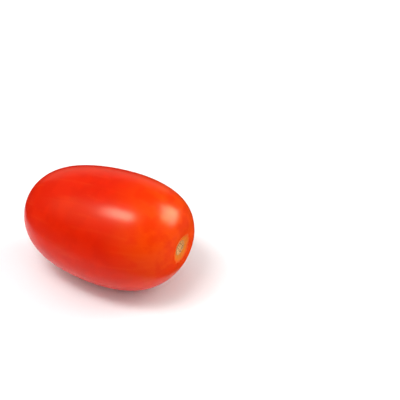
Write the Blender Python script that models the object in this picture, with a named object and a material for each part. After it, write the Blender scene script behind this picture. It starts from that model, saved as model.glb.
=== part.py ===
"""A whole plum tomato lying on its side, as it would on a kitchen table.

The fruit grew as one piece, so it is one closed solid: an egg-shaped body, a shallow basin at the
stem end with the corky scar of the fruit stalk in it, and a small pit at the blossom end.

Frame: +Z up, +X towards the stem end. The origin is on the surface that the fruit rests on, under
the middle of its box.
"""

from math import atan2, cos, exp, hypot, pi, radians, sin, sqrt

import bmesh
import bpy
from mathutils import Matrix, Vector

# Driving dimensions, in metres and degrees.
HALF_LENGTH = 0.0366          # middle of the fruit to either tip, before the ends sink in
GIRTH_RADIUS = 0.02395        # mean radius at the middle of the fruit
OVAL = 0.018                  # how much wider than the mean the girth is; it is as much flatter
REST_TILT = 2.8               # the stem end rides this much higher when the fruit lies still
RESTING_SPOT_CUT = 0.0007     # how far the underside has flattened where it lies on the table

# The outline is an ellipse that swells by these shares towards its ends.
STEM_END_HEAVIER = 0.076      # fuller towards the stem, slimmer towards the blossom
BLUNT_ENDS = 0.207            # both ends rounder than an ellipse's
SHOULDER = 0.009              # the last of the swelling sits at the stem shoulder

# Growth is never quite straight.
BEND = 0.00044                # the middle of the fruit is off the line through its tips
BEND_TOWARDS = -132.0         # degrees round the long axis, from +Y towards +Z
STEM_PLANE_LEAN_Y = 0.011     # the stem end leans: its offset along X per metre of Y
STEM_PLANE_LEAN_Z = 0.057     # and per metre of Z
LEAN_STARTS = 0.2             # share of the half length where the lean sets in

# Stem end.
BASIN_DEPTH = 0.0030
BASIN_RADIUS = 0.0061
BASIN_OFF_Y = -0.0010         # the middle of the basin is a little off the long axis
BASIN_OFF_Z = 0.0004
BASIN_SHIFT_STARTS = 0.75     # share of the half length where the surface starts to shift with it
FURROWS = 3                   # one between each two seed chambers
FURROW_DEPTH = 0.00030
FURROW_RADIUS = 0.0080        # distance from the basin's middle where the furrows are deepest
FURROW_SPREAD = 0.0042
FURROW_TURN = 20.0            # degrees round the long axis to the first furrow
SCAR_RADIUS = 0.0031
SCAR_OVAL = 0.09              # how much longer than the mean the scar is
SCAR_TURN = 25.0              # degrees round the long axis to the scar's long way
SCAR_RISE = 0.00040           # the cork stands up from the floor of the basin
SCAR_DISH = 0.00020           # and is a little hollow in the middle
SCAR_EDGE = 0.00035           # width of the scar's rounded edge

# Blossom end.
PIT_DEPTH = 0.00050
PIT_RADIUS = 0.0019
POINT_RISE = 0.00045          # the dried base of the flower's style
POINT_RADIUS = 0.00065

# How finely the surface is divided.
RINGS = 50
SEGMENTS = 52
CROWDING = 0.72               # rings crowd towards both ends, 0 for even and 1 for the most

RED = (0.72, 0.030, 0.008, 1.0)
ROUGHNESS = 0.30


def clear_scene():
    for thing in list(bpy.data.objects):
        bpy.data.objects.remove(thing, do_unlink=True)


def smooth_step(start, end, value):
    share = min(max((value - start) / (end - start), 0.0), 1.0)
    return share * share * (3.0 - 2.0 * share)


def outline_radius(along):
    """Radius of the round fruit, at -1 for the blossom end to +1 for the stem end."""
    swelling = 1.0 + STEM_END_HEAVIER * along + BLUNT_ENDS * along ** 2 + SHOULDER * along ** 3
    return GIRTH_RADIUS * sqrt(max(1.0 - along * along, 0.0)) * swelling


def outline():
    """The half outline that is spun round the long axis, stem end first."""
    points = []
    for ring in range(RINGS + 1):
        share = ring / RINGS
        angle = pi * share - CROWDING * sin(2.0 * pi * share) / 2.0
        along = cos(angle)
        points.append(Vector((HALF_LENGTH * along, outline_radius(along), 0.0)))
    for tip in (points[0], points[-1]):
        tip.y = 0.0
    return points


def spun_body(points):
    """Spin the half outline a whole turn round X and close it at both tips."""
    bm = bmesh.new()
    verts = [bm.verts.new(point) for point in points]
    edges = [bm.edges.new(pair) for pair in zip(verts, verts[1:])]
    bmesh.ops.spin(
        bm,
        geom=verts + edges,
        cent=(0.0, 0.0, 0.0),
        axis=(1.0, 0.0, 0.0),
        angle=2.0 * pi,
        steps=SEGMENTS,
        use_merge=True,
    )
    bmesh.ops.remove_doubles(bm, verts=bm.verts[:], dist=1e-6)
    bmesh.ops.recalc_face_normals(bm, faces=bm.faces[:])
    return bm


def stem_end_depth(radius, angle):
    """How far the stem end sinks along X, at a distance from the basin's middle and an angle round it."""
    basin = BASIN_DEPTH * exp(-(radius / BASIN_RADIUS) ** 2)
    turned = FURROWS * (angle - radians(FURROW_TURN))
    ridge = exp(-((radius - FURROW_RADIUS) / FURROW_SPREAD) ** 2)
    furrow = FURROW_DEPTH * ridge * max(cos(turned), 0.0) ** 2
    scar_radius = SCAR_RADIUS * (1.0 + SCAR_OVAL * cos(2.0 * (angle - radians(SCAR_TURN))))
    on_scar = 1.0 - smooth_step(scar_radius - SCAR_EDGE, scar_radius + SCAR_EDGE, radius)
    dish = SCAR_DISH * (1.0 - smooth_step(0.0, scar_radius, radius))
    return basin + furrow - on_scar * (SCAR_RISE - dish)


def blossom_end_depth(radius):
    """How far the blossom end sinks along X, at a distance from the axis."""
    pit = PIT_DEPTH * exp(-(radius / PIT_RADIUS) ** 2)
    point = POINT_RISE * exp(-(radius / POINT_RADIUS) ** 2)
    return pit - point


def grown(co):
    """Move a point of the spun body to where it lies on the real, slightly uneven fruit."""
    along = co.x / HALF_LENGTH
    radius = hypot(co.y, co.z)
    angle = atan2(co.z, co.y)
    off_line = BEND * (1.0 - along * along)
    shift = smooth_step(BASIN_SHIFT_STARTS, 1.0, along)
    y = co.y * (1.0 + OVAL) + off_line * cos(radians(BEND_TOWARDS)) + BASIN_OFF_Y * shift
    z = co.z * (1.0 - OVAL) + off_line * sin(radians(BEND_TOWARDS)) + BASIN_OFF_Z * shift
    lean = smooth_step(LEAN_STARTS, 1.0, along) * (STEM_PLANE_LEAN_Y * y + STEM_PLANE_LEAN_Z * z)
    if along > 0.0:
        sunk = -stem_end_depth(radius, angle)
    else:
        sunk = blossom_end_depth(radius)
    return Vector((co.x + lean + sunk, y, z))


def cut_resting_spot(bm):
    """Flatten the underside where the fruit touches the table, and close it with one flat face."""
    lowest = min(vert.co.z for vert in bm.verts)
    level = lowest + RESTING_SPOT_CUT
    bmesh.ops.bisect_plane(
        bm,
        geom=bm.verts[:] + bm.edges[:] + bm.faces[:],
        dist=1e-5,
        plane_co=(0.0, 0.0, level),
        plane_no=(0.0, 0.0, 1.0),
        clear_inner=True,
    )
    rim = [edge for edge in bm.edges if edge.is_boundary]
    bmesh.ops.holes_fill(bm, edges=rim, sides=0)
    bmesh.ops.recalc_face_normals(bm, faces=bm.faces[:])


def stand_on_origin(bm):
    """Put the origin on the table, under the middle of the fruit's box."""
    lows = [min(vert.co[axis] for vert in bm.verts) for axis in range(3)]
    highs = [max(vert.co[axis] for vert in bm.verts) for axis in range(3)]
    middle = Vector(((lows[0] + highs[0]) / 2.0, (lows[1] + highs[1]) / 2.0, lows[2]))
    bmesh.ops.translate(bm, verts=bm.verts[:], vec=-middle)


def skin_material():
    material = bpy.data.materials.new("tomato_skin")
    material.use_nodes = True
    shader = material.node_tree.nodes["Principled BSDF"]
    shader.inputs["Base Color"].default_value = RED
    shader.inputs["Roughness"].default_value = ROUGHNESS
    shader.inputs["Metallic"].default_value = 0.0
    return material


def make_tomato():
    bm = spun_body(outline())
    for vert in bm.verts:
        vert.co = grown(vert.co)
    tilt = Matrix.Rotation(-radians(REST_TILT), 3, "Y")
    bmesh.ops.rotate(bm, verts=bm.verts[:], cent=(0.0, 0.0, 0.0), matrix=tilt)
    cut_resting_spot(bm)
    stand_on_origin(bm)

    mesh = bpy.data.meshes.new("tomato")
    bm.to_mesh(mesh)
    bm.free()
    mesh.materials.append(skin_material())
    mesh.shade_smooth()
    mesh.set_sharp_from_angle(angle=radians(40.0))
    tomato = bpy.data.objects.new("tomato", mesh)
    bpy.context.scene.collection.objects.link(tomato)
    return tomato


clear_scene()
make_tomato()
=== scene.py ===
# %% [markdown]
# # A plum tomato lying on its side
#
# A plum tomato is an egg-shaped fruit in a thin, tight, waxy skin. The calyx has been pulled off, so a
# small disc of cork shows where the fruit stalk was joined, in a shallow basin at one end. At the other
# end the flower has left a tiny dried point in a dimple.
#
# The lesson makes four pieces: the skin, the corky stem scar, the dark vein ends in the cork, and the
# dried point. Each gets its shape from a rule and its finish from nodes. We start by loading the packed
# model, which says where the fruit lies and how big it is. Everything is in metres, with +X towards the
# stem and +Z up.

# %% Load the frame
from math import cos, pi, radians, sin

import bpy
from mathutils import Matrix, Vector


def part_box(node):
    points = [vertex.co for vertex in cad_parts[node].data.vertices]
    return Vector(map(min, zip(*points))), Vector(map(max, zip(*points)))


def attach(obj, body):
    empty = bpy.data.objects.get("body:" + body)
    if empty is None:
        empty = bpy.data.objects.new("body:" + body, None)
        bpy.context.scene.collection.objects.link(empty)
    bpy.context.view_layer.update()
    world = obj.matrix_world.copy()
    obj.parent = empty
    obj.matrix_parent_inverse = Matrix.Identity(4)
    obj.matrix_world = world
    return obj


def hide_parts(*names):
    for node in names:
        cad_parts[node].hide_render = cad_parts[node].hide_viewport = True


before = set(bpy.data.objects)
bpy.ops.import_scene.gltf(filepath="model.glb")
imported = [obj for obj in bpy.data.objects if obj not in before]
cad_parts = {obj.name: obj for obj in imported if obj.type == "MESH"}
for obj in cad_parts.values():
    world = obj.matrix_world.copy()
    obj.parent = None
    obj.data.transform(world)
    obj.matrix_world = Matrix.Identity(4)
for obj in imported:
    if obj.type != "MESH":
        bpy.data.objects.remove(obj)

scene = bpy.context.scene
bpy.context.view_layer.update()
fruit_low, fruit_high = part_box("tomato")
print("The fruit's box, mm:", [round(1000 * side, 1) for side in fruit_high - fruit_low])

# %% [markdown]
# ## Writing nodes as sums
#
# A node tree is a drawing of a calculation. Drawn by hand it is pleasant, but in a script it soon turns
# into pages of links. So we wrap a socket in a small class that knows how to add and multiply: an
# ordinary Python expression on such wires then adds the Math nodes that it stands for. One method makes
# every other kind of node. The same class serves shapes, in Geometry Nodes, and finishes, in shader
# nodes.


# %% A wire in a node tree
class Wire:
    """A value in a node tree. Arithmetic on it adds Math nodes to that tree."""

    def __init__(self, tree, socket=None):
        self.tree = tree
        self.socket = socket

    def node(self, kind, settings=None, sockets=None, output=0):
        """Add a node: its settings first, then its sockets' values or links. Returns the wire out of it."""
        new = self.tree.nodes.new(kind)
        for name, value in (settings or {}).items():
            setattr(new, name, value)
        for key, value in (sockets or {}).items():
            if isinstance(value, Wire):
                self.tree.links.new(value.socket, new.inputs[key])
            else:
                new.inputs[key].default_value = value
        return Wire(self.tree, new.outputs[output])

    def out(self, name):
        """Another output of the node that this wire leaves."""
        return Wire(self.tree, self.socket.node.outputs[name])

    def maths(self, operation, *values):
        return self.node("ShaderNodeMath", {"operation": operation}, dict(enumerate(values)))

    def __add__(self, other):
        return self.maths("ADD", self, other)

    def __radd__(self, other):
        return self.maths("ADD", other, self)

    def __sub__(self, other):
        return self.maths("SUBTRACT", self, other)

    def __rsub__(self, other):
        return self.maths("SUBTRACT", other, self)

    def __mul__(self, other):
        return self.maths("MULTIPLY", self, other)

    def __rmul__(self, other):
        return self.maths("MULTIPLY", other, self)

    def __truediv__(self, other):
        return self.maths("DIVIDE", self, other)

    def __rtruediv__(self, other):
        return self.maths("DIVIDE", other, self)

    def __pow__(self, other):
        return self.maths("POWER", self, other)


print("Wires are ready")

# %% [markdown]
# ## Words for shapes
#
# Three curves come back again and again on a fruit. A *step* goes smoothly from 0 to 1 between two
# values. A *bell* is 1 in one place and dies away on both sides, which is what a dimple or a rim looks
# like in section. *Noise* is the small chance in every grown thing. It is the same noise each time, so
# the fruit comes out the same each time.


# %% Step, bell, noise and vectors
def step(start, end, value):
    return value.node(
        "ShaderNodeMapRange",
        {"interpolation_type": "SMOOTHSTEP"},
        {"Value": value, "From Min": start, "From Max": end},
    )


def bell(value, middle, spread):
    off = (value - middle) / spread
    return off.maths("EXPONENT", 0.0 - off * off)


def positive(value):
    """The value where it is above 0, and 0 elsewhere."""
    return value.maths("MAXIMUM", value, 0.0)


def sine(value):
    return value.maths("SINE", value)


def cosine(value):
    return value.maths("COSINE", value)


def vector(x, y, z):
    first = next(part for part in (x, y, z) if isinstance(part, Wire))
    return first.node("ShaderNodeCombineXYZ", None, {"X": x, "Y": y, "Z": z})


def split(wire):
    parts = wire.node("ShaderNodeSeparateXYZ", None, {"Vector": wire})
    return [parts.out(axis) for axis in "XYZ"]


def noise(place, scale, detail=2.0, roughness=0.5):
    """Soft random values round 0.5, about scale bumps to a metre."""
    return place.node(
        "ShaderNodeTexNoise",
        {"noise_dimensions": "3D"},
        {"Vector": place, "Scale": scale, "Detail": detail, "Roughness": roughness},
    )


print("Step, bell, noise and vectors are ready")

# %% [markdown]
# ## A tree for each shape
#
# Geometry Nodes suit a fruit: its surface follows a rule, and the rule's sizes become named inputs that
# anyone can turn in the modifier panel. One helper opens such a tree with its inputs, one ends it, and
# one runs it on an empty object and keeps the result as a plain mesh, so that the modifier is gone before
# the piece is used.

# %% Open, end and run a shape tree
SOCKET_KINDS = {
    int: "NodeSocketInt",
    float: "NodeSocketFloat",
    Vector: "NodeSocketVector",
    bpy.types.Material: "NodeSocketMaterial",
}


def open_shape_tree(name, sizes):
    """A Geometry Nodes tree with a named input for each size, and the wires that leave those inputs."""
    tree = bpy.data.node_groups.new(name, "GeometryNodeTree")
    tree.interface.new_socket("Shape", in_out="OUTPUT", socket_type="NodeSocketGeometry")
    for label, value in sizes.items():
        tree.interface.new_socket(label, in_out="INPUT", socket_type=SOCKET_KINDS[type(value)])
    entry = tree.nodes.new("NodeGroupInput")
    return tree, {label: Wire(tree, entry.outputs[label]) for label in sizes}


def end_shape_tree(shape, material):
    """End a tree: instances made real, shaded smooth, and the material put on."""
    real = shape.node("GeometryNodeRealizeInstances", None, {"Geometry": shape})
    smooth = real.node("GeometryNodeSetShadeSmooth", None, {"Geometry": real})
    dressed = smooth.node("GeometryNodeSetMaterial", None, {"Geometry": smooth, "Material": material})
    exit_node = shape.tree.nodes.new("NodeGroupOutput")
    shape.tree.links.new(dressed.socket, exit_node.inputs["Shape"])


def run_shape_tree(name, tree, sizes):
    """Run a tree once and keep what it makes as a plain mesh object."""
    piece = bpy.data.objects.new(name, bpy.data.meshes.new(name + "_blank"))
    scene.collection.objects.link(piece)
    modifier = piece.modifiers.new("shape", "NODES")
    modifier.node_group = tree
    for item in tree.interface.items_tree:
        if item.in_out == "INPUT":
            modifier[item.identifier] = sizes[item.name]
    bpy.context.view_layer.update()
    depsgraph = bpy.context.evaluated_depsgraph_get()
    made = bpy.data.meshes.new_from_object(
        piece.evaluated_get(depsgraph), preserve_all_data_layers=True, depsgraph=depsgraph
    )
    piece.modifiers.remove(modifier)
    piece.data = made
    made.name = name
    print(name, "has", len(made.polygons), "faces")
    return piece


def mesh_box(piece):
    """Lowest and highest corner of a plain mesh object."""
    points = [vert.co for vert in piece.data.vertices]
    low = Vector([min(point[axis] for point in points) for axis in range(3)])
    high = Vector([max(point[axis] for point in points) for axis in range(3)])
    return low, high


def in_mm(corners):
    return [[round(1000 * part, 2) for part in corner] for corner in corners]


print("Shape trees can be opened, ended and run")

# %% [markdown]
# ## The rules of growth
#
# Spin an egg-shaped outline round its long axis and you have a fruit from a textbook. A real one is
# slightly oval and slightly bent, and its stem end leans. It doesn't lie level either: the belly is
# fuller towards the stem, so it comes to rest with that end a little up. All of that stays in one
# function, because the skin and the scar that sits in it have to move together.

# %% Sizes of the fruit
BEND = 0.00044
BEND_TOWARDS = radians(-132.0)
LEAN_STARTS = 0.2
SCAR_RADIUS = 0.0031
growth = {
    "Half Length": 0.0366,
    "Girth Radius": 0.02395,
    "Stem End Heavier": 0.076,
    "Blunt Ends": 0.207,
    "Shoulder": 0.009,
    "Oval": 0.018,
    "Bend Y": BEND * cos(BEND_TOWARDS),
    "Bend Z": BEND * sin(BEND_TOWARDS),
    "Stem Lean Y": 0.011,
    "Stem Lean Z": 0.057,
    "Rest Tilt": radians(2.8),
    "Basin Depth": 0.0030,
    "Basin Radius": 0.0061,
    "Scar Off Y": -0.0010,
    "Scar Off Z": 0.0004,
    "Set Down": Vector((0.0, 0.0, 0.0)),
}
print("From tip to tip the fruit is", round(2000 * growth["Half Length"], 1), "mm before its ends sink in")


# %% Where a point of the spun fruit comes to lie
def grown(x, y, z, size):
    """Bend, lean, tilt and set down a point of the spun fruit."""
    along = x / size["Half Length"]
    off_line = 1.0 - along * along
    y = y * (1.0 + size["Oval"]) + off_line * size["Bend Y"]
    z = z * (1.0 - size["Oval"]) + off_line * size["Bend Z"]
    lean = step(LEAN_STARTS, 1.0, along)
    x = x + lean * (y * size["Stem Lean Y"] + z * size["Stem Lean Z"])
    flat = cosine(size["Rest Tilt"])
    rise = sine(size["Rest Tilt"])
    tilted = vector(x * flat - z * rise, y, x * rise + z * flat)
    return tilted.node("ShaderNodeVectorMath", {"operation": "ADD"}, {0: tilted, 1: size["Set Down"]})


def round_scar(y, z, size):
    """Distance from the scar's middle, which is a little off the long axis, and angle round it."""
    off_y = y - size["Scar Off Y"]
    off_z = z - size["Scar Off Z"]
    return (off_y * off_y + off_z * off_z) ** 0.5, off_z.maths("ARCTAN2", off_z, off_y)


def basin(radius, size):
    """How far the stem end has sunk in, at a distance from the scar's middle."""
    return size["Basin Depth"] * bell(radius, 0.0, size["Basin Radius"])


print("The rules of growth are ready")

# %% [markdown]
# ## Wrapping a grid round a piece
#
# Three of the four pieces are a flat grid wrapped round: one side of the grid runs from tip to tip, the
# other goes once round. Where the grid meets itself, and where a whole row shrinks to one point at a tip,
# the points are merged, so the piece is closed like the real thing. Each point remembers where it was
# before the piece was bent and sunk in, as an attribute, because the finishes follow the fruit and not
# the room.


# %% A grid, and how to wrap it
PLACE_ATTRIBUTE = "fruit_place"
MERGE_WITHIN = 5e-7


def spun_grid(size):
    """A flat grid, how far each point is from tip to tip (0 to 1), and its angle round the axis."""
    columns = size["Rings"] + 1.0
    rows = size["Segments"] + 1.0
    grid = columns.node("GeometryNodeMeshGrid", None, {"Vertices X": columns, "Vertices Y": rows})
    share, turn, _ = split(grid.out("UV Map"))
    return grid, share, turn * (2.0 * pi)


def remembered(grid, place):
    """Store each point's place on the spun piece, for the finish to read."""
    return grid.node(
        "GeometryNodeStoreNamedAttribute",
        {"data_type": "FLOAT_VECTOR", "domain": "POINT"},
        {"Geometry": grid, "Name": PLACE_ATTRIBUTE, "Value": place},
    )


def wrapped(grid, place):
    """Lay the grid out round the piece, and close it along its seam and at both tips."""
    laid = grid.node("GeometryNodeSetPosition", None, {"Geometry": grid, "Position": place})
    return laid.node("GeometryNodeMergeByDistance", None, {"Geometry": laid, "Distance": MERGE_WITHIN})


print("Grids can be wrapped")

# %% [markdown]
# ## The skin
#
# The skin's outline is an ellipse that swells towards its ends. Into that go the things that a finger
# would feel: faint ribs over the seed chambers, a slow unevenness, the basin at the stem end with its
# soft furrows and the fine puckers round the scar, and the dimple at the blossom end. Where the fruit
# lies on the table its skin gives a little, so the underside levels off softly instead of cutting
# through.

# %% Sizes of the skin
skin_sizes = {
    **growth,
    "Rings": 230,
    "Segments": 240,
    "Crowding": 0.72,
    "Chamber Ribs": 0.005,
    "Unevenness": 0.011,
    "Furrow Depth": 0.00030,
    "Furrow Radius": 0.0080,
    "Furrow Spread": 0.0042,
    "Furrow Turn": radians(20.0),
    "Pucker Depth": 0.00016,
    "Pucker Radius": 0.0040,
    "Pucker Spread": 0.0011,
    "Lip Height": 0.00012,
    "Scar Radius": SCAR_RADIUS,
    "Pit Depth": 0.00055,
    "Pit Radius": 0.0019,
    "Table Height": 0.0,
    "Softness": 0.00022,
}
print("The skin has", skin_sizes["Rings"] * skin_sizes["Segments"], "faces to come")


# %% The skin's shape tree
CHAMBERS = 3.0              # seed chambers inside, with a rib over each and a furrow between
CREASE_SCALE = 6.5          # how fine the creases round the scar are
CREASE_CHANGE = 160.0       # how fast they change outwards, per metre
LIP_AT = 1.18               # the skin's lip round the scar, as a share of the scar's radius
LIP_SPREAD = 0.14
PIT_CREASE_SCALE = 4.0
PIT_CREASE_CHANGE = 300.0
SMOOTH_TIP = 0.0007         # creases fade out this near to the tip, because there every angle is one point
UNEVENNESS_SCALE = 42.0


def stem_end_depth(y, z, size):
    """How far the skin has sunk at the stem end."""
    radius, turn = round_scar(y, z, size)
    valley = positive(cosine(CHAMBERS * (turn - size["Furrow Turn"])))
    furrowed = bell(radius, size["Furrow Radius"], size["Furrow Spread"])
    furrow = size["Furrow Depth"] * valley * valley * furrowed
    outwards = vector(cosine(turn), sine(turn), radius * CREASE_CHANGE)
    creases = noise(outwards, CREASE_SCALE, 2.0) - 0.5
    pucker = size["Pucker Depth"] * creases * bell(radius, size["Pucker Radius"], size["Pucker Spread"])
    lip = size["Lip Height"] * bell(radius, size["Scar Radius"] * LIP_AT, size["Scar Radius"] * LIP_SPREAD)
    return basin(radius, size) + furrow + pucker - lip


def blossom_end_depth(radius, turn, size):
    """How far the skin has sunk at the blossom end."""
    round_pit = vector(cosine(turn), sine(turn), radius * PIT_CREASE_CHANGE)
    creases = (noise(round_pit, PIT_CREASE_SCALE, 1.0) - 0.5) * step(0.0, SMOOTH_TIP, radius)
    return size["Pit Depth"] * bell(radius, 0.0, size["Pit Radius"]) * (1.0 + 0.5 * creases)


def draw_skin(size):
    grid, share, turn = spun_grid(size)
    angle = share * pi - size["Crowding"] * sine(share * (2.0 * pi)) / 2.0
    along = cosine(angle)
    thickest = positive(sine(angle))
    shoulders = size["Blunt Ends"] + along * size["Shoulder"]
    swelling = 1.0 + along * (size["Stem End Heavier"] + along * shoulders)
    radius = size["Girth Radius"] * thickest * swelling
    x = along * size["Half Length"]
    y = radius * cosine(turn)
    z = radius * sine(turn)
    spun = vector(x, y, z)
    marked = remembered(grid, spun)
    ribs = size["Chamber Ribs"] * cosine(CHAMBERS * (turn - size["Furrow Turn"]) + pi) * thickest
    fuller = 1.0 + ribs + size["Unevenness"] * (noise(spun, UNEVENNESS_SCALE, 1.0) - 0.5)
    at_stem = along.maths("GREATER_THAN", along, 0.0)
    sunk = (1.0 - at_stem) * blossom_end_depth(radius, turn, size)
    sunk = sunk - at_stem * stem_end_depth(y, z, size)
    place = grown(x + sunk, y * fuller, z * fuller, size)
    over_x, over_y, over_z = split(place)
    above = over_z - size["Table Height"]
    yielding = (above * above + size["Softness"] * size["Softness"]) ** 0.5
    rested = size["Table Height"] + (above + yielding) / 2.0
    return wrapped(marked, vector(over_x, over_y, rested))


print("The skin's tree is ready to be drawn")

# %% [markdown]
# ## Words for finishes
#
# A finish starts as a Principled BSDF. What is the same all over, such as how strongly light bends in the
# wax, is a number on one of its sockets. What changes from place to place comes in on a wire. Colours go
# through Mix nodes, because a Math node would turn them grey.


# %% Open a finish, mix colours, raise bumps
def open_finish(name, constants):
    """A material with its constant values set. Returns it, a wire to draw with, and its shader."""
    material = bpy.data.materials.new(name)
    material.use_nodes = True
    shader = material.node_tree.nodes["Principled BSDF"]
    for label, value in constants.items():
        shader.inputs[label].default_value = value
    return material, Wire(material.node_tree), shader


def feed(shader, label, wire):
    wire.tree.links.new(wire.socket, shader.inputs[label])


def blend(share, first, second):
    """The first colour where share is 0, the second where it is 1."""
    settings = {"data_type": "RGBA", "blend_type": "MIX", "clamp_factor": True}
    return share.node("ShaderNodeMix", settings, {0: share, 6: first, 7: second}, 2)


def colour(red, green, blue):
    return (red, green, blue, 1.0)


def bump(height, distance):
    return height.node("ShaderNodeBump", None, {"Strength": 1.0, "Distance": distance, "Height": height})


NEVER_ZERO = 1e-12


def outwards_from_middle(first, second):
    """Distance from the middle, and the direction outwards. The distance is kept off 0 to divide by it."""
    distance = (first * first + second * second + NEVER_ZERO) ** 0.5
    return distance, first / distance, second / distance


def stored_place(tree):
    """Where a point was on the spun piece."""
    return tree.node("ShaderNodeAttribute", {"attribute_name": PLACE_ATTRIBUTE}, None, "Vector")


def fruit_place(tree):
    """Where a point was on the spun fruit: along the long axis, distance from it, and direction round it."""
    place = stored_place(tree)
    x, y, z = split(place)
    return place, x / growth["Half Length"], *outwards_from_middle(y, z)


def scar_place(place):
    """The same round the middle of the scar: distance from it and direction round it."""
    _, y, z = split(place)
    return outwards_from_middle(y - growth["Scar Off Y"], z - growth["Scar Off Z"])


print("Finishes can be opened, mixed and bumped")

# %% [markdown]
# ## The skin's finish
#
# Ripe tomato skin is a clear, slightly yellow wax over red flesh. The colour isn't even: it goes from a
# deep red at the blossom end to orange at the stem, where the fruit ripens last. The orange is also
# painted further along on the upper side: that is painted light, where the light from above falls. Faint
# pale lines follow the veins from end to end. Round the scar the
# skin has stretched into amber and olive streaks. All of that depends on the place on the fruit, not on
# the place in the room, so it reads the attribute that the tree has stored.

# %% The skin's colours
DEEP_RED = colour(0.65, 0.0120, 0.0003)
FULL_RED = colour(0.73, 0.0160, 0.0004)
ORANGE_RED = colour(0.87, 0.0620, 0.0014)
AMBER = colour(0.84, 0.2000, 0.0110)
OLIVE_GOLD = colour(0.58, 0.2100, 0.0140)
PALE_VEIN = colour(0.95, 0.1600, 0.0300)
DIMPLE_BROWN = colour(0.30, 0.0250, 0.0060)
print("Three reds, an amber, a gold, a pale vein and a brown")


# %% The skin's finish
RIPENING = (0.35, 1.10)             # shares of the half length where orange begins, and where it is full
# Painted light: the upper side is painted more orange, where the light from above falls.
UPPER_SIDE_PAINTED_LIGHT = 12.0              # share of the half length that orange gains per metre of height
PATCHINESS = 0.20
AMBER_REACH = (0.0058, 0.0036)      # from the scar's middle: where amber begins, and where it is full
GOLD_REACH = (0.0049, 0.0031)
BLOSSOM_RING = (0.0025, 0.0008)     # from the blossom tip: the pale ring's middle, and its spread
DIMPLE_REACH = (0.0017, 0.0007)
WANDER = 0.0016                     # how far the edges of the rings stray
STREAK_LENGTH = 0.0022
VEIN_SHARE = 0.055
SKIN_ROUGHNESS = 0.255
PORE_HEIGHT = 0.000012


def draw_skin_finish():
    material, tree, skin = open_finish(
        "tomato_skin",
        {
            "IOR": 1.24,
            "Subsurface Weight": 0.12,
            "Subsurface Radius": (1.0, 0.22, 0.10),
            "Subsurface Scale": 0.0020,
            "Specular Tint": colour(1.0, 0.93, 0.66),
        },
    )
    place, along, radius, round_y, round_z = fruit_place(tree)
    at_stem = along.maths("GREATER_THAN", along, 0.0)

    _, _, height = split(place)
    patches = PATCHINESS * (noise(place, 70.0, 2.0) - 0.5)
    # Ripening towards the stem, plus painted light that makes the upper side more orange.
    ripening_and_painted_light = step(*RIPENING, along + UPPER_SIDE_PAINTED_LIGHT * height + patches)
    flesh = blend(ripening_and_painted_light, DEEP_RED, ORANGE_RED)
    flesh = blend(0.5 * step(0.42, 0.62, noise(place, 130.0, 3.0)), flesh, FULL_RED)
    veins = noise(vector(round_y, round_z, along * 0.30), 8.0, 3.0)
    flesh = blend(VEIN_SHARE * step(0.52, 0.74, veins), flesh, PALE_VEIN)

    from_scar, scar_y, scar_z = scar_place(place)
    wander = WANDER * (noise(vector(scar_y, scar_z, 0.0), 1.3, 2.0) - 0.5)
    streaks = noise(vector(scar_y, scar_z, from_scar * 55.0), 7.0, 3.0)
    lopsided = 1.0 - 0.13 * (scar_y - scar_z) - 0.26 * scar_y * scar_z
    reach = from_scar * lopsided + wander + STREAK_LENGTH * (streaks - 0.5)
    amber_ring = at_stem * step(*AMBER_REACH, reach)
    gold_ring = at_stem * step(*GOLD_REACH, reach) * step(0.38, 0.60, streaks)
    flesh = blend(0.9 * amber_ring, flesh, AMBER)
    flesh = blend(0.7 * gold_ring, flesh, OLIVE_GOLD)

    at_tip = 1.0 - at_stem
    ragged = radius + WANDER * (noise(vector(round_y, round_z, radius * 300.0), 2.2, 2.0) - 0.5)
    flesh = blend(0.30 * at_tip * bell(ragged, *BLOSSOM_RING), flesh, PALE_VEIN)
    flesh = blend(0.85 * at_tip * step(*DIMPLE_REACH, radius), flesh, DIMPLE_BROWN)
    feed(skin, "Base Color", flesh)

    smudges = noise(place, 210.0, 3.0)
    feed(skin, "Roughness", SKIN_ROUGHNESS + 0.06 * (smudges - 0.5) + 0.16 * amber_ring)

    pores = noise(place, 260.0, 1.0) + 0.35 * noise(place, 900.0, 1.0)
    feed(skin, "Normal", bump(pores, PORE_HEIGHT))
    return material


skin_finish = draw_skin_finish()
print("The skin's finish has", len(skin_finish.node_tree.nodes), "nodes")

# %% [markdown]
# ## Making the skin
#
# The tree runs twice. The first fruit hangs in the air and is only measured. It says how far the fruit
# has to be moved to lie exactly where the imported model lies. The second one is set down there, and is
# kept.

# %% Make the skin
skin_sizes["Finish"] = skin_finish
skin_tree, skin_wires = open_shape_tree("tomato_skin_shape", skin_sizes)
end_shape_tree(draw_skin(skin_wires), skin_wires["Finish"])

trial = run_shape_tree("trial_fruit", skin_tree, {**skin_sizes, "Table Height": -1.0})
trial_low, trial_high = mesh_box(trial)
bpy.data.objects.remove(trial)

growth["Set Down"] = (fruit_low + fruit_high - trial_low - trial_high) / 2.0
growth["Set Down"].z = fruit_high.z - trial_high.z
skin_sizes["Set Down"] = growth["Set Down"]
skin_sizes["Table Height"] = fruit_low.z
tomato_skin = run_shape_tree("tomato_skin", skin_tree, skin_sizes)
print("Set down by, mm:", [round(1000 * part, 2) for part in growth["Set Down"]])
print("The skin's corners, mm:", in_mm(mesh_box(tomato_skin)))

# %% [markdown]
# ## The stem scar
#
# Where the stalk let go, the fruit has healed with cork: a dry, slightly hollow button with a raised rim,
# an uneven edge and small cracks that run outwards. It is a closed lens of its own, half sunk in the
# basin, so it gets its own finish and its own fine surface.

# %% Sizes of the scar
scar_sizes = {
    **growth,
    "Rings": 120,
    "Segments": 132,
    "Scar Radius": SCAR_RADIUS,
    "Scar Oval": 0.09,
    "Oval Turn": radians(25.0),
    "Scar Rise": 0.00034,
    "Buried": 0.00030,
    "Dish": 0.00022,
    "Rim Height": 0.00016,
    "Crack Depth": 0.00016,
    "Grain Height": 0.00014,
}
print("The scar is", 2000 * scar_sizes["Scar Radius"], "mm across")


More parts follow.
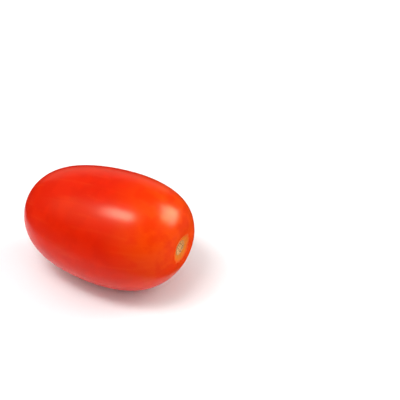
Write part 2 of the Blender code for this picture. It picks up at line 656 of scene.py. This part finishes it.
# %% The scar's shape tree
EDGE_SHARPNESS = 7.0        # the higher, the closer to the edge the cork rounds off
RIM_AT = 0.80               # the raised rim, as a share of the scar's radius
RIM_SPREAD = 0.13
CRACK_SCALE = 5.0
CRACK_CHANGE = 0.55         # how much the cracks change from the middle to the edge
CRACK_WIDTH = 0.035
CRACKS_BEGIN = (0.16, 0.50)
GRAIN_SCALE = 4.5


def on_stem_end(radius, turn, height, size):
    """A point over the basin's floor, at a distance and angle round the scar's middle and a height off it."""
    y = size["Scar Off Y"] + radius * cosine(turn)
    z = size["Scar Off Z"] + radius * sine(turn)
    full = size["Girth Radius"] * (1.0 + size["Stem End Heavier"] + size["Blunt Ends"] + size["Shoulder"])
    x = size["Half Length"] * (1.0 - (y * y + z * z) / (full * full)) ** 0.5
    return grown(x - basin(radius, size) + height, y, z, size)


def scar_top(share, size):
    """Height of the cork over the basin's floor, at a share of its radius."""
    round_off = positive(1.0 - share ** EDGE_SHARPNESS) ** 0.5
    dish = size["Dish"] * step(0.62, 0.0, share)
    rim = size["Rim Height"] * bell(share, RIM_AT, RIM_SPREAD)
    return (size["Scar Rise"] + size["Buried"] - dish + rim) * round_off - size["Buried"]


def cork_cracks(out_x, out_y, share):
    """1 in the cracks that run outwards in the cork, 0 between them."""
    outwards = vector(out_x, out_y, share * CRACK_CHANGE)
    return bell(noise(outwards, CRACK_SCALE, 2.0), 0.50, CRACK_WIDTH) * step(*CRACKS_BEGIN, share)


def cork_grain(place):
    return noise(place, GRAIN_SCALE, 3.0, 0.6)


def draw_scar(size):
    grid, across, turn = spun_grid(size)
    share = positive(sine(across * pi))
    spun = vector(share * cosine(turn), share * sine(turn), 0.0)
    marked = remembered(grid, spun)
    cracks = cork_cracks(cosine(turn), sine(turn), share)
    worn = size["Grain Height"] * (cork_grain(spun) - 0.5) - size["Crack Depth"] * cracks
    top = scar_top(share, size) + worn * step(1.0, 0.86, share)
    under = 0.0 - size["Buried"] - size["Buried"] * (1.0 - share)
    is_top = across.maths("LESS_THAN", across, 0.5)
    height = is_top * top + (1.0 - is_top) * under
    edge = 1.0 + 0.20 * (noise(vector(cosine(turn), sine(turn), 0.0), 1.9, 2.0) - 0.5)
    edge = edge + size["Scar Oval"] * cosine(2.0 * (turn - size["Oval Turn"]))
    return wrapped(marked, on_stem_end(size["Scar Radius"] * share * edge, turn, height, size))


print("The scar's tree is ready to be drawn")

# %% [markdown]
# ## Cork
#
# Dry cork is straw-coloured, duller than anything else on the fruit, and darker where it has cracked. Two
# noises of different grain give its mottling, the same cracks that are cut in the shape are tinted, and a
# brown line runs round the edge where cork meets skin. One side of the cork is painted a darker tan, as
# painted shade from the rim of the basin.

# %% The cork's finish
CORK_BUMP = 0.00006
STRAW = colour(0.86, 0.4600, 0.1800)
PALE_STRAW = colour(0.95, 0.6200, 0.3200)
TAN = colour(0.62, 0.2400, 0.0550)
BARK_BROWN = colour(0.20, 0.0600, 0.0100)


def draw_cork_finish():
    material, tree, cork = open_finish("stem_cork", {"IOR": 1.45, "Specular IOR Level": 0.35})
    place = stored_place(tree)
    x, y, _ = split(place)
    share, out_x, out_y = outwards_from_middle(x, y)
    cracks = cork_cracks(out_x, out_y, share)
    mottling = cork_grain(place)
    crumbs = noise(place, 17.0, 2.0)
    dry = blend(step(0.36, 0.60, mottling), TAN, STRAW)
    dry = blend(0.8 * step(0.52, 0.68, crumbs), dry, PALE_STRAW)
    dry = blend(0.75 * step(0.46, 0.34, crumbs), dry, TAN)
    # Painted shade: one side of the cork is made darker tan, as shade from the basin's rim; the edge of that
    # side follows the mottling.
    dry = blend(0.8 * step(0.1, 0.9, x + 0.7 * y + 1.2 * (mottling - 0.5)), dry, TAN)
    dry = blend(0.9 * cracks, dry, BARK_BROWN)
    dry = blend(0.7 * step(0.86, 0.98, share), dry, BARK_BROWN)
    feed(cork, "Base Color", dry)
    feed(cork, "Roughness", 0.80 - 0.15 * mottling)
    feed(cork, "Normal", bump(crumbs + 0.5 * mottling, CORK_BUMP))
    return material


cork_finish = draw_cork_finish()
print("The cork's finish has", len(cork_finish.node_tree.nodes), "nodes")

# %% Make the scar
scar_sizes["Finish"] = cork_finish
scar_tree, scar_wires = open_shape_tree("stem_scar_shape", scar_sizes)
end_shape_tree(draw_scar(scar_wires), scar_wires["Finish"])
stem_scar = run_shape_tree("stem_scar", scar_tree, scar_sizes)
print("The scar's corners, mm:", in_mm(mesh_box(stem_scar)))

# %% [markdown]
# ## Vein ends
#
# The veins that fed the fruit came in through the stalk in a ring. They broke off with it, and their
# dried ends are dark dots in the cork. Repeated small shapes are what instancing is for: one little ball
# is put on each point of a ring, each a bit out of place and a bit different in size, and the random
# numbers are seeded.

# %% Sizes of the vein ends
vein_sizes = {
    **{label: value for label, value in scar_sizes.items() if label not in ("Rings", "Segments", "Finish")},
    "Vein Ends": 13,
    "In The Ring": 9,
    "Ring Share": 0.60,
    "Inner Share": 0.24,
    "Stray": 0.12,
    "Vein Radius": 0.00021,
    "Seed": 7,
}
print(vein_sizes["Vein Ends"], "vein ends,", vein_sizes["In The Ring"], "of them in the ring")


# %% The vein ends' shape tree
INNER_TURN = 0.11           # of a whole turn: the inner dots start this far round
RING_JITTER = 0.22
BALL_FINENESS = 2           # 80 faces each
BALL_FLATNESS = 0.55


def chance(size, offset, low, high):
    """A random number for each point, between low and high."""
    seed = size["Seed"] + offset
    return seed.node("FunctionNodeRandomValue", {"data_type": "FLOAT"}, {2: low, 3: high, 8: seed}, 1)


def draw_vein_ends(size):
    points = size["Vein Ends"].node("GeometryNodePoints", None, {"Count": size["Vein Ends"]}, "Points")
    index = points.node("GeometryNodeInputIndex")
    inside = index.maths("GREATER_THAN", index, size["In The Ring"] - 0.5)
    in_ring = size["In The Ring"]
    inner_count = size["Vein Ends"] - in_ring
    turn = (1.0 - inside) * (index / in_ring) + inside * ((index - in_ring) / inner_count + INNER_TURN)
    turn = turn * (2.0 * pi) + chance(size, 1.0, -RING_JITTER, RING_JITTER)
    share = size["Ring Share"] - inside * (size["Ring Share"] - size["Inner Share"])
    share = share + size["Stray"] * chance(size, 2.0, -1.0, 1.0)
    height = scar_top(share, size)
    place = on_stem_end(size["Scar Radius"] * share, turn, height, size)
    placed = points.node("GeometryNodeSetPosition", None, {"Geometry": points, "Position": place})
    ball_sockets = {"Radius": size["Vein Radius"], "Subdivisions": BALL_FINENESS}
    ball = placed.node("GeometryNodeMeshIcoSphere", None, ball_sockets)
    wide = chance(size, 3.0, 0.55, 1.25)
    long = chance(size, 4.0, 0.75, 1.5)
    scale = vector(wide * BALL_FLATNESS, wide, wide * long)
    sockets = {"Points": placed, "Instance": ball, "Scale": scale}
    return placed.node("GeometryNodeInstanceOnPoints", None, sockets)


print("The vein ends' tree is ready to be drawn")


# %% The vein ends' finish
VEIN_DARK = colour(0.045, 0.016, 0.005)
VEIN_LIGHT = colour(0.14, 0.06, 0.02)
VEIN_BUMP = 0.00003


def draw_vein_finish():
    material, tree, vein = open_finish("dried_vein", {"IOR": 1.45, "Specular IOR Level": 0.3})
    place = tree.node("ShaderNodeTexCoord", None, None, "Object")
    grain = noise(place, 5200.0, 2.0)
    feed(vein, "Base Color", blend(step(0.35, 0.65, grain), VEIN_DARK, VEIN_LIGHT))
    feed(vein, "Roughness", 0.75 + 0.2 * grain)
    feed(vein, "Normal", bump(grain, VEIN_BUMP))
    return material


vein_finish = draw_vein_finish()
print("The vein ends' finish has", len(vein_finish.node_tree.nodes), "nodes")

# %% Make the vein ends
vein_sizes["Finish"] = vein_finish
vein_tree, vein_wires = open_shape_tree("vein_ends_shape", vein_sizes)
end_shape_tree(draw_vein_ends(vein_wires), vein_wires["Finish"])
vein_ends = run_shape_tree("vein_ends", vein_tree, vein_sizes)

# %% [markdown]
# ## The blossom point
#
# The flower's style has dried to a hard brown point in the dimple at the other end. It is the same kind
# of closed lens as the scar, only steeper, and crumpled like a raisin. It sits on the other end of the
# fruit, so it is spun the other way round, which makes its faces point outwards.

# %% Sizes of the blossom point
point_sizes = {
    **growth,
    "Rings": 48,
    "Segments": 64,
    "Pit Depth": skin_sizes["Pit Depth"],
    "Point Radius": 0.00080,
    "Point Height": 0.00050,
    "Crumple": 0.00022,
    "Buried": 0.00025,
}
print("The blossom point is", 2000 * point_sizes["Point Radius"], "mm across")


# %% The blossom point's shape tree
def crumpled_folds(place):
    return noise(place, 2.6, 3.0, 0.6)


def draw_blossom_point(size):
    grid, across, turn = spun_grid(size)
    turn = 0.0 - turn
    share = positive(sine(across * pi))
    spun = vector(share * cosine(turn), share * sine(turn), 0.0)
    marked = remembered(grid, spun)
    crumpled = size["Crumple"] * (crumpled_folds(spun) - 0.5) * step(1.0, 0.5, share)
    top = (size["Point Height"] + size["Buried"]) * step(1.0, 0.0, share) - size["Buried"] + crumpled
    under = 0.0 - size["Buried"] * (2.0 - share)
    is_top = across.maths("LESS_THAN", across, 0.5)
    height = is_top * top + (1.0 - is_top) * under
    edge = 1.0 + 0.30 * (noise(vector(cosine(turn), sine(turn), 3.0), 1.5, 2.0) - 0.5)
    radius = size["Point Radius"] * share * edge
    x = size["Pit Depth"] - size["Half Length"] - height
    return wrapped(marked, grown(x, radius * cosine(turn), radius * sine(turn), size))


print("The blossom point's tree is ready to be drawn")


# %% The blossom point's finish
# The point's brown is its own colour. Its darker hollows and lighter ridges are painted shade and painted
# light, laid along the same folds as its crumpled shape.
SHADED_FOLD_BROWN = colour(0.05, 0.014, 0.005)
LIT_RIDGE_BROWN = colour(0.23, 0.085, 0.03)
FOLD_BUMP = 0.00005


def draw_point_finish():
    material, tree, dried = open_finish("dried_blossom", {"IOR": 1.45, "Specular IOR Level": 0.4})
    place = stored_place(tree)
    folds = crumpled_folds(place)
    # Painted shade in the folds' hollows, painted light on their ridges.
    feed(dried, "Base Color", blend(step(0.38, 0.62, folds), SHADED_FOLD_BROWN, LIT_RIDGE_BROWN))
    feed(dried, "Roughness", 0.55 + 0.3 * folds)
    feed(dried, "Normal", bump(noise(place, 9.0, 2.0), FOLD_BUMP))
    return material


point_finish = draw_point_finish()
print("The blossom point's finish has", len(point_finish.node_tree.nodes), "nodes")

# %% Make the blossom point
point_sizes["Finish"] = point_finish
point_tree, point_wires = open_shape_tree("blossom_point_shape", point_sizes)
end_shape_tree(draw_blossom_point(point_wires), point_wires["Finish"])
blossom_point = run_shape_tree("blossom_point", point_tree, point_sizes)

# %% [markdown]
# ## The camera
#
# A long lens, well back, keeps the fruit's proportions true. The camera looks down at it from the front
# right, so that the stem scar shows. The fruit lies left of the middle of the view and a little below it:
# the camera stands to the right and above by as much, and it isn't turned, so the perspective stays that
# of a camera that looks straight ahead.

# %% The camera
VIEW_AZIMUTH = radians(27.6)
VIEW_ELEVATION = radians(38.5)
VIEW_DISTANCE = 0.60
VIEW_RIGHT = 0.0376
VIEW_UP = 0.0101
LENS = 132.57
SENSOR_WIDTH = 36.0

right = Vector((cos(VIEW_AZIMUTH), sin(VIEW_AZIMUTH), 0.0))
back = Vector(
    (
        sin(VIEW_AZIMUTH) * cos(VIEW_ELEVATION),
        -cos(VIEW_AZIMUTH) * cos(VIEW_ELEVATION),
        sin(VIEW_ELEVATION),
    )
)
up = back.cross(right)


def standing(place, x_axis, y_axis, z_axis):
    """The matrix of an object at a place, with its own axes turned to the three given."""
    turned = Matrix((x_axis, y_axis, z_axis)).transposed().to_4x4()
    return Matrix.Translation(place) @ turned


fruit_middle = growth["Set Down"]
camera_data = bpy.data.cameras.new("camera")
camera_data.lens = LENS
camera_data.sensor_width = SENSOR_WIDTH
camera = bpy.data.objects.new("camera", camera_data)
scene.collection.objects.link(camera)
eye = fruit_middle + back * VIEW_DISTANCE + right * VIEW_RIGHT + up * VIEW_UP
camera.matrix_world = standing(eye, right, up, back)
scene.camera = camera
print("The camera stands at, m:", [round(part, 3) for part in eye])

# %% [markdown]
# ## The floor
#
# A white table is matt, and bright enough to send light back up into the fruit's underside. It is made of
# two pieces that meet without a seam: a disc and a ring round it. Only the disc, under the fruit and
# close round it, is allowed to be mirrored in the skin, as if dark things stood round the table.


# %% The floor
TABLE_GREY = colour(0.89, 0.90, 0.91)
TABLE_WHITE = colour(0.91, 0.92, 0.93)


def draw_floor_finish():
    material, tree, table = open_finish("matt_table", {"Specular IOR Level": 0.0})
    place = tree.node("ShaderNodeTexCoord", None, None, "Object")
    fibres = noise(place, 900.0, 2.0)
    feed(table, "Base Color", blend(fibres, TABLE_GREY, TABLE_WHITE))
    feed(table, "Roughness", 0.85 + 0.1 * fibres)
    return material


TABLE_SIDES = 96
NEAR_RADIUS = 0.056
NEAR_MIDDLE = (-0.018, -0.012)
TABLE_RADIUS = 0.60
table_finish = draw_floor_finish()


def rim(middle, radius):
    turns = [2.0 * pi * side / TABLE_SIDES for side in range(TABLE_SIDES)]
    return [(middle[0] + radius * cos(turn), middle[1] + radius * sin(turn), 0.0) for turn in turns]


def table_piece(name, corners, faces):
    mesh = bpy.data.meshes.new(name)
    mesh.from_pydata(corners, [], faces)
    mesh.materials.append(table_finish)
    piece = bpy.data.objects.new(name, mesh)
    scene.collection.objects.link(piece)
    return piece


near_rim = rim(NEAR_MIDDLE, NEAR_RADIUS)
far_rim = rim((0.0, 0.0), TABLE_RADIUS)
pairs = [(side, (side + 1) % TABLE_SIDES) for side in range(TABLE_SIDES)]
ring_faces = [(side, after, TABLE_SIDES + after, TABLE_SIDES + side) for side, after in pairs]
floor = table_piece("floor", near_rim, [range(TABLE_SIDES)])
far_floor = table_piece("far_floor", far_rim + near_rim, ring_faces)
far_floor.visible_glossy = False
print("The table is", 2 * TABLE_RADIUS, "m across")

# %% [markdown]
# ## The light
#
# Shiny skin shows its lights as reflections, so the lights are chosen by the highlights that they should
# leave. A long softbox overhead leaves the pale streak on the fruit's back. A squarer one, behind on the
# right, leaves the bright patch on the stem shoulder. Wax mirrors little of what falls on it, so each is
# helped by two lights that are seen only in reflections: one of its own size, and a smaller, much
# brighter core. A dim reflector on the left spreads a soft glow over the blossom half, and a dim sweep
# behind draws the thin line along the top edge.
#
# Large panels then fill in from above and from all round. They light the fruit without being mirrored in
# it, so the red keeps its depth.


# %% Softboxes
POWER_FOR_RADIANCE = 4.0    # watts for each square metre of an area light, to give it a radiance of 1


def softbox(name, towards, distance, size, radiance, tint, across):
    """An area light facing the fruit. Its long side runs as nearly along across as it can."""
    lamp = bpy.data.lights.new(name, "AREA")
    lamp.shape = "RECTANGLE"
    lamp.size, lamp.size_y = size
    lamp.color = tint
    lamp.energy = POWER_FOR_RADIANCE * radiance * size[0] * size[1]
    z_axis = Vector(towards).normalized()
    x_axis = (Vector(across) - Vector(across).project(z_axis)).normalized()
    stand = bpy.data.objects.new(name, lamp)
    stand.matrix_world = standing(fruit_middle + z_axis * distance, x_axis, z_axis.cross(x_axis), z_axis)
    scene.collection.objects.link(stand)
    return stand


WHITE = (1.0, 1.0, 1.0)
WARM = (1.0, 0.95, 0.70)
COOL = (0.90, 0.95, 1.0)
CREAM = (1.0, 0.98, 0.93)
GOLD = (1.0, 0.80, 0.30)
OVERHEAD = (-0.20, -0.33, 0.92)
OVERHEAD_SIZE = (0.50, 0.26)
OVERHEAD_TURN = (1.0, 0.15, 0.0)
BACK_RIGHT = (0.61, 0.57, 0.55)
BACK_RIGHT_SIZE = (0.62, 0.80)
FRONT_LEFT = (-0.62, -0.42, 0.66)
DIAGONAL = (1.0, -1.0, 0.0)
LAMP_DISTANCE = 1.0
PANEL_DISTANCE = 1.3
PANEL_SIZE = (1.10, 1.10)

softbox("overhead_softbox", OVERHEAD, LAMP_DISTANCE, OVERHEAD_SIZE, 8.4, WHITE, OVERHEAD_TURN)
softbox("back_softbox", BACK_RIGHT, LAMP_DISTANCE, BACK_RIGHT_SIZE, 2.8, CREAM, DIAGONAL)

# Each light: the way to it from the fruit, its size, radiance and tint, and the way its long side runs.
mirrored = {
    "overhead_shine": (OVERHEAD, OVERHEAD_SIZE, 4.2, COOL, OVERHEAD_TURN),
    "overhead_core": ((-0.17, -0.29, 0.94), (0.40, 0.22), 23.0, COOL, OVERHEAD_TURN),
    "back_shine": (BACK_RIGHT, BACK_RIGHT_SIZE, 2.0, WARM, DIAGONAL),
    "back_core": ((0.65, 0.55, 0.53), (0.56, 0.60), 16.0, WARM, DIAGONAL),
    "left_reflector": (FRONT_LEFT, (0.60, 0.50), 1.8, GOLD, DIAGONAL),
    "back_sweep": ((-0.53, 0.85, 0.17), (1.10, 0.55), 0.50, WARM, (0.85, 0.53, 0.0)),
}
for name, (towards, size, radiance, tint, across) in mirrored.items():
    softbox(name, towards, LAMP_DISTANCE, size, radiance, tint, across).visible_diffuse = False

# Each panel: the way to it from the fruit, its radiance, and the way its long side runs.
panels = {
    "top_panel": ((0.0, 0.0, 1.0), 1.00, right),
    "front_panel": ((0.0, -0.80, 0.60), 0.72, (1.0, 0.0, 0.0)),
    "front_left_panel": (FRONT_LEFT, 0.95, DIAGONAL),
    "left_panel": ((-0.90, 0.0, 0.45), 0.60, (0.0, 1.0, 0.0)),
    "right_panel": ((0.90, 0.0, 0.45), 1.10, (0.0, 1.0, 0.0)),
    "back_left_panel": ((-0.60, 0.60, 0.55), 0.75, (1.0, 1.0, 0.0)),
}
for name, (towards, radiance, across) in panels.items():
    softbox(name, towards, PANEL_DISTANCE, PANEL_SIZE, radiance, WHITE, across).visible_glossy = False
print("Two softboxes,", len(mirrored), "lights seen only in reflections and", len(panels), "panels")

# %% [markdown]
# ## The room
#
# Everything that isn't a light is a white room. Only the camera sees it: its light would flatten the
# shadows, and its reflection would lay a grey veil over the red.

# %% The room
room = bpy.data.worlds.new("room")
room.use_nodes = True
room.node_tree.nodes["Background"].inputs["Color"].default_value = colour(1.0, 1.0, 1.0)
room.node_tree.nodes["Background"].inputs["Strength"].default_value = 1.0
scene.world = room
room.cycles_visibility.glossy = False
room.cycles_visibility.diffuse = False
scene.view_settings.view_transform = "Standard"
print("The room is lit")

# %% [markdown]
# ## Handing over
#
# Each piece rides on the fruit's body. The skin stands for the imported solid, which is hidden.

# %% Hand over
for piece in (tomato_skin, stem_scar, vein_ends, blossom_point):
    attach(piece, "root")
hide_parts("tomato")
